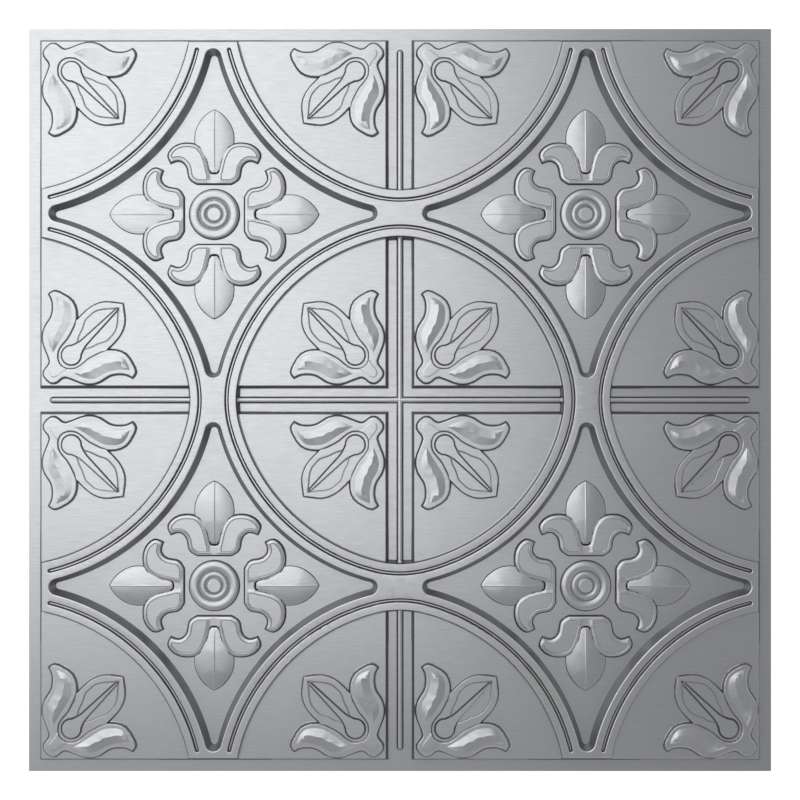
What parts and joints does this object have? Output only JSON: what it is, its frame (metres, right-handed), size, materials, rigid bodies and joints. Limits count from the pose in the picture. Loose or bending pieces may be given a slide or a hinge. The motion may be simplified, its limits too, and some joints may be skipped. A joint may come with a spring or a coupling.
{
  "type": "drop ceiling tile",
  "caption": "Square lay-in ceiling tile drawn from thin sheet, with a flat rim and a raised pattern of rings, panels, leaf sprigs and rosettes.",
  "frame": {"origin": "middle of the underside, on the plane that the rim rests on", "axes": "+Z out of the decorated face, +Y towards the picture's upper edge, +X towards its right edge"},
  "size_m": [0.603, 0.603, 0.0087],
  "materials": {
    "silver_film": "silver film with fine brush lines"
  },
  "bodies": {
    "root": {"ceiling_tile": "silver_film"}
  },
  "joints": []
}
